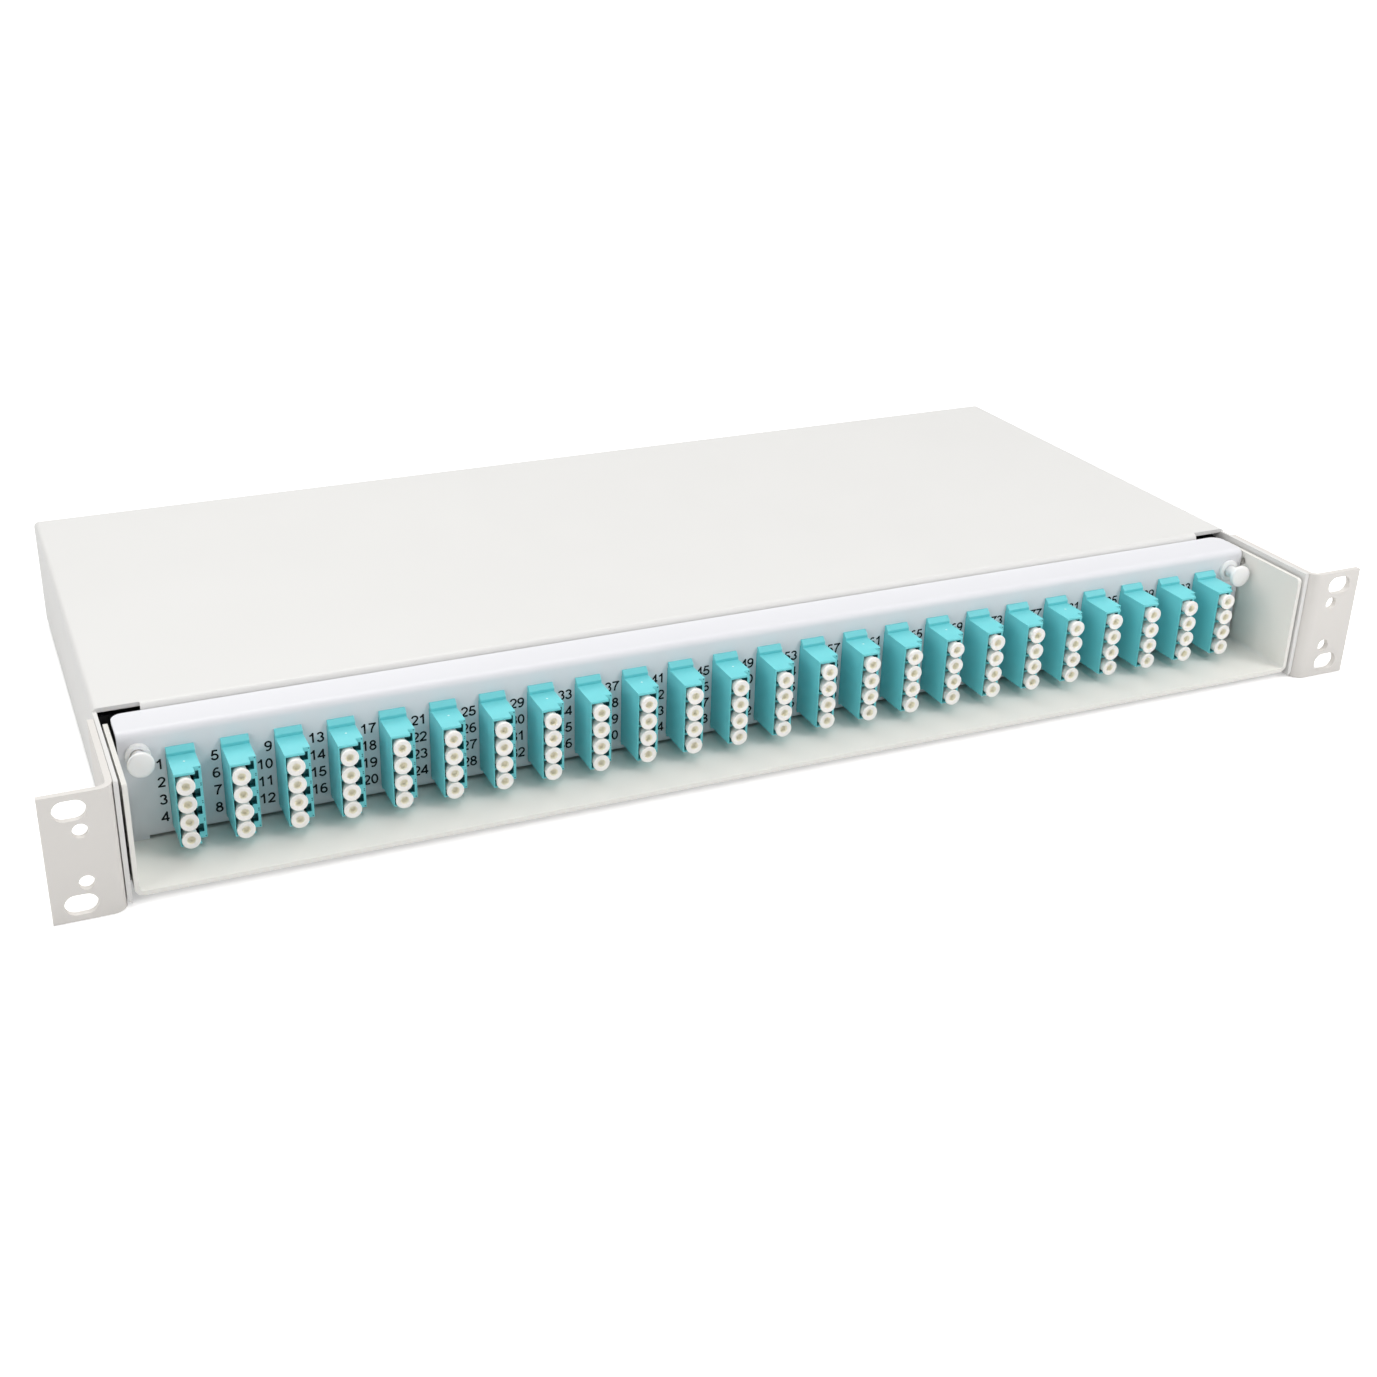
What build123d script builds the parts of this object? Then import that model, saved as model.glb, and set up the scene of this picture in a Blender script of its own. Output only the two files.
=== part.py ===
from build123d import *

import os

os.makedirs("parts", exist_ok=True)

# A sliding 19-inch fibre patch panel, one rack unit high, with a drawer that
# carries twenty-four quad adapters. All sizes are in millimetres.
# +X points to the panel's right, +Y to its back and +Z up. The origin is the
# middle of the four rack slots, on the rear face of the two rack ears.

# Sizes of the rack standard
rack_width = 482.6
slot_inset = 8.75
slot_spacing_up = 31.75

# Rack ears
ear_reach = 22.05
ear_height = 42.6
ear_thickness = 2.0
ear_bend_inside = 2.6
ear_leg_back = 44.0
slot_length = 10.0
slot_width = 6.8
round_hole_radius = 2.4
round_hole_inset = 11.1
round_hole_spacing_up = 17.5
ear_screw_places = (12.0, 30.0)

# Housing: one sheet bent into the top, the two sides and the bottom lips
housing_top = 22.6
housing_bottom = -20.5
housing_front = 0.5
housing_back = 224.5
housing_sheet = 1.5
housing_bend = 2.0
side_top = 21.5
bottom_lip_width = 15.0
bottom_lip_front = 14.0

# Lip folded down from the front edge of the top, between two corner notches
front_lip_face = 46.3
front_notch_width = 14.85
front_lip_height = 6.0

# Rear panel, held between the top sheet and the bottom lips
panel_sheet = 1.5
panel_side_gap = 0.6
panel_top_flange = 12.0
panel_bottom_flange = 9.0
entry_places = (-150.0, -60.0, 60.0, 150.0)
entry_radius = 10.15
rear_rivet_inset = 7.75
rear_rivet_forward = 6.0
rear_rivet_radius = 1.6
rear_rivet_head_radius = 2.8
rear_rivet_head_height = 0.8

# Drawer tray
tray_side_gap = 0.95
tray_floor_gap = 0.2
tray_sheet = 1.5
tray_bend = 2.8
tray_front = 1.0
tray_back_gap = 18.5
wing_top = 19.5
wing_back = 43.9
wing_rounding = 1.5
low_wall_top = 0.0
wing_hole_place = (31.0, 15.9)
wing_hole_radius = 1.5
back_rim_height = 8.0
stop_tab_inset = 35.3
stop_tab_width = 20.0
stop_tab_top = 19.0

# Adapter plate, the drawer's front
plate_front = 31.1
plate_sheet = 1.5
plate_side_gap = 1.0
plate_top = 20.7
plate_bend = 2.5
plate_bottom_gap = 1.3
flange_clearance = 0.3
flange_corner = 4.0
foot_inset = 1.7
foot_width = 5.0
foot_tab_length = 12.0
foot_rivet_radius = 1.6
foot_rivet_head_radius = 2.35
foot_rivet_head_height = 0.75

# Quad adapters
adapter_count = 24
adapter_row_end = 18.0
adapter_row_shift = 0.7
adapter_height_place = -1.1
adapter_width = 8.9
adapter_height = 25.4
adapter_face = 16.4
adapter_length = 37.0
adapter_flange_above = 2.7
adapter_flange_below = 1.7
adapter_flange_thickness = 2.1
adapter_cutout_clearance = 0.1
adapter_strip_width = 2.45
adapter_strip_set_back = 3.4
port_count = 4
port_pitch = 6.25
port_size = 5.3
port_shift = -1.4
port_height_place = -1.3
port_depth = 8.0

# Dust caps
cap_rim_radius = 3.0
cap_rim_sides = 8
cap_rim_front = 13.9
cap_rim_thickness = 1.5
cap_plug_clearance = 0.05
cap_plug_sides = 4
cap_plug_length = 6.0

# Push-pull latches
latch_inset = 6.8
latch_height = 13.0
grommet_flange_radius = 4.15
grommet_flange_thickness = 1.2
grommet_barrel_radius = 3.0
grommet_hole_clearance = 0.1
grommet_length = 8.5
grommet_slot = 0.8
grommet_slot_start = 2.2
plunger_head_radius = 4.3
plunger_head_thickness = 1.6
plunger_standoff = 5.1
plunger_stem_radius = 2.2
plunger_clearance = 0.05
plunger_tip_gap = 1.0

# Brackets that the latches lock into
bracket_sheet = 1.5
bracket_gap = 0.3
bracket_hole_clearance = 0.4
bracket_tongue_reach = 5.0
bracket_arm_gap = 1.5
bracket_bottom = 5.0
bracket_top = 18.4
bracket_turn_back = 52.0
bracket_foot_back = 66.0

# Splice cassettes
cassette_side_gap = 32.8
cassette_middle_gap = 17.5
cassette_front = 85.0
cassette_back_gap = 21.0
cassette_height = 9.0
cassette_wall = 1.5
cassette_corner = 18.0
cassette_hole_radius = 2.2
cassette_stud_radius = 2.0
cassette_stud_extra = 4.0
cassette_nut_height = 3.0
cassette_nut_radius = 4.5
cover_thickness = 1.2
splice_block_width = 42.0
splice_block_depth = 30.0
splice_block_height = 5.0
splice_slots = 4
splice_slot_width = 3.5
splice_slot_depth = 3.5
fibre_notch = 14.0

# Fibre clips and cable posts on the tray floor
clip_width = 14.0
clip_height = 12.0
clip_wall = 1.5
clip_depth = 8.0
clip_mouth = 4.0
clip_inner_place = 60.0
clip_outer_inset = 40.3
clip_place_back = 68.0
post_width = 18.0
post_height = 9.0
post_stem_width = 9.0
post_bar_height = 3.0
post_depth = 4.0
post_places = (-60.0, 60.0)
post_back_gap = 10.0

# Cable glands and blanking plugs
gland_across_flats = 24.0
gland_hex_length = 6.0
gland_dome_length = 12.0
gland_dome_radius = 10.5
gland_mouth_radius = 7.0
gland_bore_radius = 5.0
gland_thread_radius = 9.95
gland_inner_length = 10.0
locknut_across_flats = 26.0
locknut_thickness = 4.0
locknut_clearance = 0.1
plug_head_radius = 12.0
plug_head_thickness = 3.0

# Ear screws
screw_radius = 1.95
screw_hole_clearance = 0.1
screw_head_radius = 3.5
screw_head_thickness = 2.0

# Flat sides that stand in for a round outline on what is small or repeated
fastener_sides = 8
round_sides = 12

# Worked out from the sizes above
slot_spacing_across = rack_width - 2 * slot_inset
round_hole_spacing_across = rack_width - 2 * round_hole_inset
housing_width = rack_width - 2 * ear_reach
housing_half = housing_width / 2
housing_inner_half = housing_half - housing_sheet
housing_height = housing_top - housing_bottom
housing_inner_height = housing_height - 2 * housing_sheet
housing_middle = (housing_top + housing_bottom) / 2
rear_rivet_across = housing_inner_half - rear_rivet_inset
rear_rivet_back = housing_back - rear_rivet_forward
rear_rivet_places = ((-rear_rivet_across, rear_rivet_back), (rear_rivet_across, rear_rivet_back))
front_lip_half_width = housing_half - front_notch_width
lip_bend_line = front_lip_face + housing_bend
tray_half = housing_inner_half - tray_side_gap
tray_inner_half = tray_half - tray_sheet
tray_back = housing_back - tray_back_gap
stop_tab_place = tray_inner_half - stop_tab_inset
tray_bottom = housing_bottom + housing_sheet + tray_floor_gap
floor_top = tray_bottom + tray_sheet
plate_half_width = tray_inner_half - plate_side_gap
plate_bottom = floor_top + plate_bottom_gap
foot_outer = plate_half_width - foot_inset
foot_middle = foot_outer - foot_width / 2
foot_rivet_back = plate_front + plate_sheet + (foot_tab_length - plate_sheet) / 2
foot_rivet_places = ((-foot_middle, foot_rivet_back), (foot_middle, foot_rivet_back))
adapter_flange_height = adapter_height + adapter_flange_above + adapter_flange_below
adapter_flange_bottom = adapter_height_place - adapter_height / 2 - adapter_flange_below
adapter_pitch = 2 * (plate_half_width - adapter_row_end) / (adapter_count - 1)
latch_place = tray_inner_half - latch_inset
bracket_tongue_inner = latch_place - bracket_tongue_reach
flange_back = front_lip_face - flange_clearance
ear_inner = housing_half
ear_outer = housing_half + ear_thickness
port_row_middle = adapter_row_shift + port_shift
grommet_front = plate_front - grommet_flange_thickness
bracket_front = plate_front + plate_sheet + bracket_gap
cassette_width = tray_inner_half - cassette_side_gap - cassette_middle_gap
cassette_depth = tray_back - cassette_back_gap - cassette_front
cassette_place_across = cassette_middle_gap + cassette_width / 2
cassette_place_back = cassette_front + cassette_depth / 2
splice_block_place_back = cassette_place_back + cassette_depth / 4
cassette_places = (
    (-cassette_place_across, cassette_place_back),
    (cassette_place_across, cassette_place_back),
)
clip_outer_place = tray_inner_half - clip_outer_inset
clip_places = (-clip_outer_place, -clip_inner_place, clip_inner_place, clip_outer_place)
post_place_back = tray_back - post_back_gap
cassette_level = floor_top
cover_level = cassette_level + 2 * cassette_height
adapter_places = [
    adapter_row_shift + (number - (adapter_count - 1) / 2) * adapter_pitch
    for number in range(adapter_count)
]
cut_over = 5.0
pick_margin = 0.1


def save(builder, name):
    """Labels one finished piece and writes it."""
    builder.part.label = name
    export_step(builder.part, f"parts/{name}.step")


def facing_front(place):
    """The plane across the panel at one depth, which faces the front."""
    return Plane.XZ.offset(-place)


# Housing
with BuildPart() as housing:
    with BuildSketch(facing_front(housing_front)):
        with Locations((0, housing_middle)):
            RectangleRounded(housing_width, housing_height, housing_bend)
            RectangleRounded(
                2 * housing_inner_half,
                housing_inner_height,
                housing_bend - housing_sheet,
                mode=Mode.SUBTRACT,
            )
        with Locations((0, housing_bottom)):
            Rectangle(
                2 * (housing_inner_half - bottom_lip_width),
                4 * housing_sheet,
                mode=Mode.SUBTRACT,
            )
    extrude(amount=-(housing_back - housing_front))
    # The top starts at the lip's bend, and only the sides reach the front
    with BuildSketch(Plane.XY.offset(side_top)):
        with Locations((0, lip_bend_line)):
            Rectangle(housing_width + cut_over, 2 * lip_bend_line, align=(Align.CENTER, Align.MAX))
    extrude(amount=cut_over, mode=Mode.SUBTRACT)
    with BuildSketch(Plane.XY.offset(housing_top - housing_bend)):
        with Locations((0, lip_bend_line)):
            Rectangle(2 * housing_inner_half, 2 * lip_bend_line, align=(Align.CENTER, Align.MAX))
    extrude(amount=cut_over, mode=Mode.SUBTRACT)
    # The bottom lips start behind the drawer's front
    with BuildSketch(Plane.XY.offset(housing_bottom)):
        with Locations((0, bottom_lip_front)):
            Rectangle(2 * housing_inner_half, 2 * bottom_lip_front, align=(Align.CENTER, Align.MAX))
    extrude(amount=housing_bend, mode=Mode.SUBTRACT)
    # Front lip between the corner notches
    with BuildSketch(Plane.YZ.offset(-front_lip_half_width)):
        with Locations((front_lip_face, housing_top)):
            Rectangle(2 * housing_bend, front_lip_height, align=(Align.MIN, Align.MAX))
        fillet(vertices().group_by(Axis.Y)[-1].sort_by(Axis.X)[0], housing_bend)
        with Locations((front_lip_face + housing_sheet, housing_top - housing_sheet)):
            Rectangle(
                2 * housing_bend, front_lip_height, align=(Align.MIN, Align.MAX), mode=Mode.SUBTRACT
            )
    extrude(amount=2 * front_lip_half_width)
    # Holes for the ear screws, through both sides
    with BuildSketch(Plane.YZ.offset(-housing_half)):
        with Locations(*[(place, 0) for place in ear_screw_places]):
            RegularPolygon(screw_radius + screw_hole_clearance, fastener_sides)
    extrude(amount=housing_width, mode=Mode.SUBTRACT)
    # Rivet holes for the rear panel, in the bottom lips
    with BuildSketch(Plane.XY.offset(housing_bottom)):
        with Locations(*rear_rivet_places):
            RegularPolygon(rear_rivet_radius, fastener_sides)
    extrude(amount=housing_sheet, mode=Mode.SUBTRACT)
save(housing, "housing")

# Rear panel with four cable entries
with BuildPart() as rear_panel:
    panel_top = housing_top - housing_sheet
    panel_bottom = housing_bottom + housing_sheet
    panel_half = housing_inner_half - panel_side_gap
    with BuildSketch(Plane.YZ.offset(-panel_half)):
        with Locations((housing_back, panel_top)):
            Rectangle(
                panel_sheet + panel_top_flange,
                panel_top - panel_bottom,
                align=(Align.MAX, Align.MAX),
            )
        fillet(vertices().group_by(Axis.X)[-1], housing_bend)
        with Locations((housing_back - panel_sheet, panel_top - panel_sheet)):
            Rectangle(
                panel_sheet + panel_top_flange,
                panel_top - panel_bottom - 2 * panel_sheet,
                align=(Align.MAX, Align.MAX),
                mode=Mode.SUBTRACT,
            )
        with Locations((housing_back - panel_sheet - panel_bottom_flange, panel_bottom)):
            Rectangle(
                panel_top_flange, panel_sheet, align=(Align.MAX, Align.MIN), mode=Mode.SUBTRACT
            )
    extrude(amount=2 * panel_half)
    with BuildSketch(facing_front(housing_back)):
        with Locations(*[(place, 0) for place in entry_places]):
            RegularPolygon(entry_radius, round_sides)
    extrude(amount=panel_sheet, mode=Mode.SUBTRACT)
    with BuildSketch(Plane.XY.offset(panel_bottom)):
        with Locations(*rear_rivet_places):
            RegularPolygon(rear_rivet_radius, fastener_sides)
    extrude(amount=panel_sheet, mode=Mode.SUBTRACT)
save(rear_panel, "rear_panel")

# Two rivets through the bottom lips and the rear panel's bottom flange
with BuildPart() as rear_panel_rivets:
    with BuildSketch(Plane.XY.offset(housing_bottom)):
        with Locations(*rear_rivet_places):
            RegularPolygon(rear_rivet_radius, fastener_sides)
    extrude(amount=housing_sheet + panel_sheet)
    with BuildSketch(Plane.XY.offset(panel_bottom + panel_sheet)):
        with Locations(*rear_rivet_places):
            RegularPolygon(rear_rivet_head_radius, fastener_sides)
    extrude(amount=rear_rivet_head_height)
save(rear_panel_rivets, "rear_panel_rivets")


def make_ear(side):
    """One rack ear: a sheet bent into a front flange and a leg on the housing's side."""
    bend_outside = ear_bend_inside + ear_thickness
    with BuildPart() as ear:
        with BuildSketch(Plane.XY.offset(-ear_height / 2)):
            with Locations((side * (rack_width / 2 + ear_inner) / 2, -ear_thickness / 2)):
                Rectangle(rack_width / 2 - ear_inner, ear_thickness)
            with Locations((side * (ear_inner + ear_outer) / 2, (ear_leg_back - ear_thickness) / 2)):
                Rectangle(ear_thickness, ear_leg_back + ear_thickness)
            fillet(vertices().sort_by_distance((side * ear_inner, -ear_thickness))[0], bend_outside)
            fillet(vertices().sort_by_distance((side * ear_outer, 0))[0], ear_bend_inside)
        extrude(amount=ear_height)
        with BuildSketch(facing_front(-ear_thickness)):
            with Locations(
                (side * slot_spacing_across / 2, slot_spacing_up / 2),
                (side * slot_spacing_across / 2, -slot_spacing_up / 2),
            ):
                SlotOverall(slot_length, slot_width)
            with Locations(
                (side * round_hole_spacing_across / 2, round_hole_spacing_up / 2),
                (side * round_hole_spacing_across / 2, -round_hole_spacing_up / 2),
            ):
                Circle(round_hole_radius)
        extrude(amount=-ear_thickness, mode=Mode.SUBTRACT)
        with BuildSketch(Plane.YZ.offset(side * ear_inner)):
            with Locations(*[(place, 0) for place in ear_screw_places]):
                RegularPolygon(screw_radius + screw_hole_clearance, fastener_sides)
        extrude(amount=side * ear_thickness, mode=Mode.SUBTRACT)
    return ear


save(make_ear(-1), "left_ear")
save(make_ear(1), "right_ear")

# Four screws that hold the ears on the housing
with BuildPart() as ear_screws:
    for side in (-1, 1):
        with BuildSketch(Plane.YZ.offset(side * housing_inner_half)):
            with Locations(*[(place, 0) for place in ear_screw_places]):
                RegularPolygon(screw_radius, fastener_sides)
        extrude(amount=side * (housing_sheet + ear_thickness))
        with BuildSketch(Plane.YZ.offset(side * ear_outer)):
            with Locations(*[(place, 0) for place in ear_screw_places]):
                RegularPolygon(screw_head_radius, fastener_sides)
        extrude(amount=side * screw_head_thickness)
save(ear_screws, "ear_screws")


def make_latch_bracket(side):
    """A bent tongue on the housing's side, which a latch's legs go through."""
    arm_outer = tray_inner_half - bracket_arm_gap
    arm_inner = arm_outer - bracket_sheet
    with BuildPart() as bracket:
        with BuildSketch(Plane.XY.offset(bracket_bottom)):
            # Tongue behind the adapter plate
            with Locations((side * (bracket_tongue_inner + arm_outer) / 2, bracket_front)):
                Rectangle(
                    arm_outer - bracket_tongue_inner, bracket_sheet, align=(Align.CENTER, Align.MIN)
                )
            # Arm that passes inside the drawer's wing
            with Locations((side * (arm_inner + arm_outer) / 2, bracket_front)):
                Rectangle(
                    bracket_sheet, bracket_turn_back - bracket_front, align=(Align.CENTER, Align.MIN)
                )
            # Turn outwards behind the wing
            with Locations((side * (arm_inner + housing_inner_half) / 2, bracket_turn_back)):
                Rectangle(
                    housing_inner_half - arm_inner, bracket_sheet, align=(Align.CENTER, Align.MAX)
                )
            # Foot on the housing's side
            with Locations((side * (housing_inner_half - bracket_sheet / 2), bracket_foot_back)):
                Rectangle(
                    bracket_sheet,
                    bracket_foot_back - bracket_turn_back + bracket_sheet,
                    align=(Align.CENTER, Align.MAX),
                )
        extrude(amount=bracket_top - bracket_bottom)
        with BuildSketch(facing_front(bracket_front)):
            with Locations((side * latch_place, latch_height)):
                RegularPolygon(grommet_barrel_radius + bracket_hole_clearance, fastener_sides)
        extrude(amount=-bracket_sheet, mode=Mode.SUBTRACT)
    return bracket


save(make_latch_bracket(-1), "latch_bracket_left")
save(make_latch_bracket(1), "latch_bracket_right")

# Drawer tray: floor, high front wings, low side walls, rear rim and two stops
with BuildPart() as tray:
    with BuildSketch(facing_front(tray_front)):
        with Locations((0, tray_bottom)):
            Rectangle(2 * tray_half, wing_top - tray_bottom, align=(Align.CENTER, Align.MIN))
        fillet(vertices().group_by(Axis.Y)[0], tray_bend)
        with Locations((0, floor_top)):
            Rectangle(
                2 * tray_inner_half,
                wing_top - floor_top + cut_over,
                align=(Align.CENTER, Align.MIN),
                mode=Mode.SUBTRACT,
            )
        fillet(
            vertices().filter_by_position(Axis.Y, floor_top - pick_margin, floor_top + pick_margin),
            tray_bend - tray_sheet,
        )
    extrude(amount=-(tray_back - tray_front))
    # Wings: rounded top corners, and low walls behind them
    with BuildSketch(Plane.YZ.offset(-tray_half)):
        with Locations((wing_back, low_wall_top)):
            Rectangle(
                tray_back, wing_top - low_wall_top + cut_over, align=(Align.MIN, Align.MIN)
            )
    extrude(amount=2 * tray_half, mode=Mode.SUBTRACT)
    fillet(
        edges().filter_by(Axis.X).group_by(Axis.Z)[-1],
        wing_rounding,
    )
    with BuildSketch(Plane.YZ.offset(-tray_half)):
        with Locations(wing_hole_place):
            RegularPolygon(wing_hole_radius, fastener_sides)
    extrude(amount=2 * tray_half, mode=Mode.SUBTRACT)
    # Rear rim with the two stops that meet the housing's front lip
    with BuildSketch(facing_front(tray_back)):
        with Locations((0, floor_top)):
            Rectangle(
                2 * (tray_half - tray_bend), back_rim_height, align=(Align.CENTER, Align.MIN)
            )
        with Locations((-stop_tab_place, floor_top), (stop_tab_place, floor_top)):
            Rectangle(stop_tab_width, stop_tab_top - floor_top, align=(Align.CENTER, Align.MIN))
    extrude(amount=tray_sheet)
    # Rivet holes under the adapter plate's feet, and stud holes for the cassettes
    with BuildSketch(Plane.XY.offset(tray_bottom)):
        with Locations(*foot_rivet_places):
            RegularPolygon(foot_rivet_radius, fastener_sides)
        with Locations(*cassette_places):
            RegularPolygon(cassette_stud_radius, fastener_sides)
    extrude(amount=tray_sheet, mode=Mode.SUBTRACT)
save(tray, "tray")

# Adapter plate: vertical front, top flange and two riveted feet
with BuildPart() as adapter_plate:
    with BuildSketch(Plane.YZ.offset(-plate_half_width)):
        with Locations((plate_front, plate_top)):
            Rectangle(
                flange_back - plate_front, plate_top - plate_bottom, align=(Align.MIN, Align.MAX)
            )
        fillet(vertices().group_by(Axis.Y)[-1].sort_by(Axis.X)[0], plate_bend)
        with Locations((plate_front + plate_sheet, plate_top - plate_sheet)):
            Rectangle(
                flange_back, plate_top - plate_bottom, align=(Align.MIN, Align.MAX), mode=Mode.SUBTRACT
            )
        inner_corner = (plate_front + plate_sheet, plate_top - plate_sheet)
        fillet(vertices().sort_by_distance(inner_corner)[0], plate_bend - plate_sheet)
    extrude(amount=2 * plate_half_width)
    fillet(edges().filter_by(Axis.Z).group_by(Axis.Y)[-1], flange_corner)
    for side in (-1, 1):
        with BuildSketch(Plane.YZ.offset(side * foot_outer)):
            with Locations((plate_front, plate_bottom)):
                Rectangle(plate_sheet, plate_bottom_gap, align=(Align.MIN, Align.MAX))
            with Locations((plate_front, floor_top)):
                Rectangle(foot_tab_length, plate_sheet, align=(Align.MIN, Align.MIN))
        extrude(amount=-side * foot_width)
    with BuildSketch(Plane.XY.offset(floor_top)):
        with Locations(*foot_rivet_places):
            RegularPolygon(foot_rivet_radius, fastener_sides)
    extrude(amount=plate_sheet, mode=Mode.SUBTRACT)
    with BuildSketch(facing_front(plate_front)):
        with Locations((adapter_row_shift, adapter_height_place)):
            with GridLocations(adapter_pitch, 0, adapter_count, 1):
                Rectangle(
                    adapter_width + 2 * adapter_cutout_clearance,
                    adapter_height + 2 * adapter_cutout_clearance,
                )
        with Locations((-latch_place, latch_height), (latch_place, latch_height)):
            RegularPolygon(grommet_barrel_radius + grommet_hole_clearance, fastener_sides)
    extrude(amount=-plate_sheet, mode=Mode.SUBTRACT)
save(adapter_plate, "adapter_plate")

# Two rivets through the plate's feet, flush with the tray's underside and domed above
with BuildPart() as plate_rivets:
    with BuildSketch(Plane.XY.offset(tray_bottom)):
        with Locations(*foot_rivet_places):
            RegularPolygon(foot_rivet_radius, fastener_sides)
    extrude(amount=tray_sheet + plate_sheet)
    with BuildSketch(Plane.XY.offset(floor_top + plate_sheet)):
        with Locations(*foot_rivet_places):
            RegularPolygon(foot_rivet_head_radius, fastener_sides)
    extrude(amount=foot_rivet_head_height)
save(plate_rivets, "plate_rivets")


def make_adapter(place):
    """One quad adapter: a body with a mounting flange, a strip set back beside the ports."""
    with BuildPart() as adapter:
        with BuildSketch(Plane.YZ.offset(place - adapter_width / 2)):
            with Locations((adapter_face, adapter_height_place)):
                Rectangle(adapter_length, adapter_height, align=(Align.MIN, Align.CENTER))
            with Locations((plate_front, adapter_flange_bottom)):
                Rectangle(
                    adapter_flange_thickness, adapter_flange_height, align=(Align.MAX, Align.MIN)
                )
        extrude(amount=adapter_width)
        with BuildSketch(facing_front(adapter_face)):
            with Locations((place + adapter_width / 2, adapter_height_place)):
                Rectangle(adapter_strip_width, adapter_height, align=(Align.MAX, Align.CENTER))
        extrude(amount=-adapter_strip_set_back, mode=Mode.SUBTRACT)
        with BuildSketch(facing_front(adapter_face)):
            with Locations((place + port_shift, port_height_place)):
                with GridLocations(0, port_pitch, 1, port_count):
                    Rectangle(port_size, port_size)
        extrude(amount=-port_depth, mode=Mode.SUBTRACT)
    return adapter


for number, place in enumerate(adapter_places, start=1):
    save(make_adapter(place), f"adapter_{number:02d}")


def make_cap_row(row):
    """The dust caps of one row of ports: a rim, and a plug whose corners centre it in the port."""
    height = port_height_place + ((port_count - 1) / 2 - row) * port_pitch
    with BuildPart() as caps:
        with BuildSketch(facing_front(cap_rim_front)):
            with Locations((port_row_middle, height)):
                with GridLocations(adapter_pitch, 0, adapter_count, 1):
                    RegularPolygon(cap_rim_radius, cap_rim_sides)
        extrude(amount=-cap_rim_thickness)
        with BuildSketch(facing_front(cap_rim_front + cap_rim_thickness)):
            with Locations((port_row_middle, height)):
                with GridLocations(adapter_pitch, 0, adapter_count, 1):
                    RegularPolygon(port_size / 2 - cap_plug_clearance, cap_plug_sides)
        extrude(amount=-cap_plug_length)
    return caps


for row in range(port_count):
    save(make_cap_row(row), f"dust_caps_row_{row + 1}")


def make_latch_grommet(side):
    """The fixed half of a latch: a flange on the plate and a barrel split into four legs."""
    with BuildPart() as grommet:
        with BuildSketch(facing_front(grommet_front)):
            with Locations((side * latch_place, latch_height)):
                RegularPolygon(grommet_flange_radius, round_sides)
        extrude(amount=-grommet_flange_thickness)
        with BuildSketch(facing_front(plate_front)):
            with Locations((side * latch_place, latch_height)):
                RegularPolygon(grommet_barrel_radius, fastener_sides)
        extrude(amount=-grommet_length)
        with BuildSketch(facing_front(grommet_front)):
            with Locations((side * latch_place, latch_height)):
                RegularPolygon(plunger_stem_radius + plunger_clearance, fastener_sides)
        extrude(amount=-(grommet_flange_thickness + grommet_length), mode=Mode.SUBTRACT)
        with BuildSketch(facing_front(plate_front + grommet_slot_start)):
            with Locations((side * latch_place, latch_height)):
                Rectangle(3 * grommet_barrel_radius, grommet_slot)
                Rectangle(grommet_slot, 3 * grommet_barrel_radius)
        extrude(amount=-grommet_length, mode=Mode.SUBTRACT)
    return grommet


def make_latch_plunger(side):
    """The moving half of a latch: a round head on a stem, shown pulled out."""
    head_front = grommet_front - plunger_standoff - plunger_head_thickness
    stem_back = plate_front + grommet_length - plunger_standoff - plunger_tip_gap
    with BuildPart() as plunger:
        with BuildSketch(facing_front(head_front)):
            with Locations((side * latch_place, latch_height)):
                RegularPolygon(plunger_head_radius, round_sides)
        extrude(amount=-plunger_head_thickness)
        with BuildSketch(facing_front(head_front + plunger_head_thickness)):
            with Locations((side * latch_place, latch_height)):
                RegularPolygon(plunger_stem_radius, fastener_sides)
        extrude(amount=-(stem_back - head_front - plunger_head_thickness))
    return plunger


for side, name in ((-1, "left"), (1, "right")):
    save(make_latch_grommet(side), f"latch_grommet_{name}")
    save(make_latch_plunger(side), f"latch_plunger_{name}")


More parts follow.
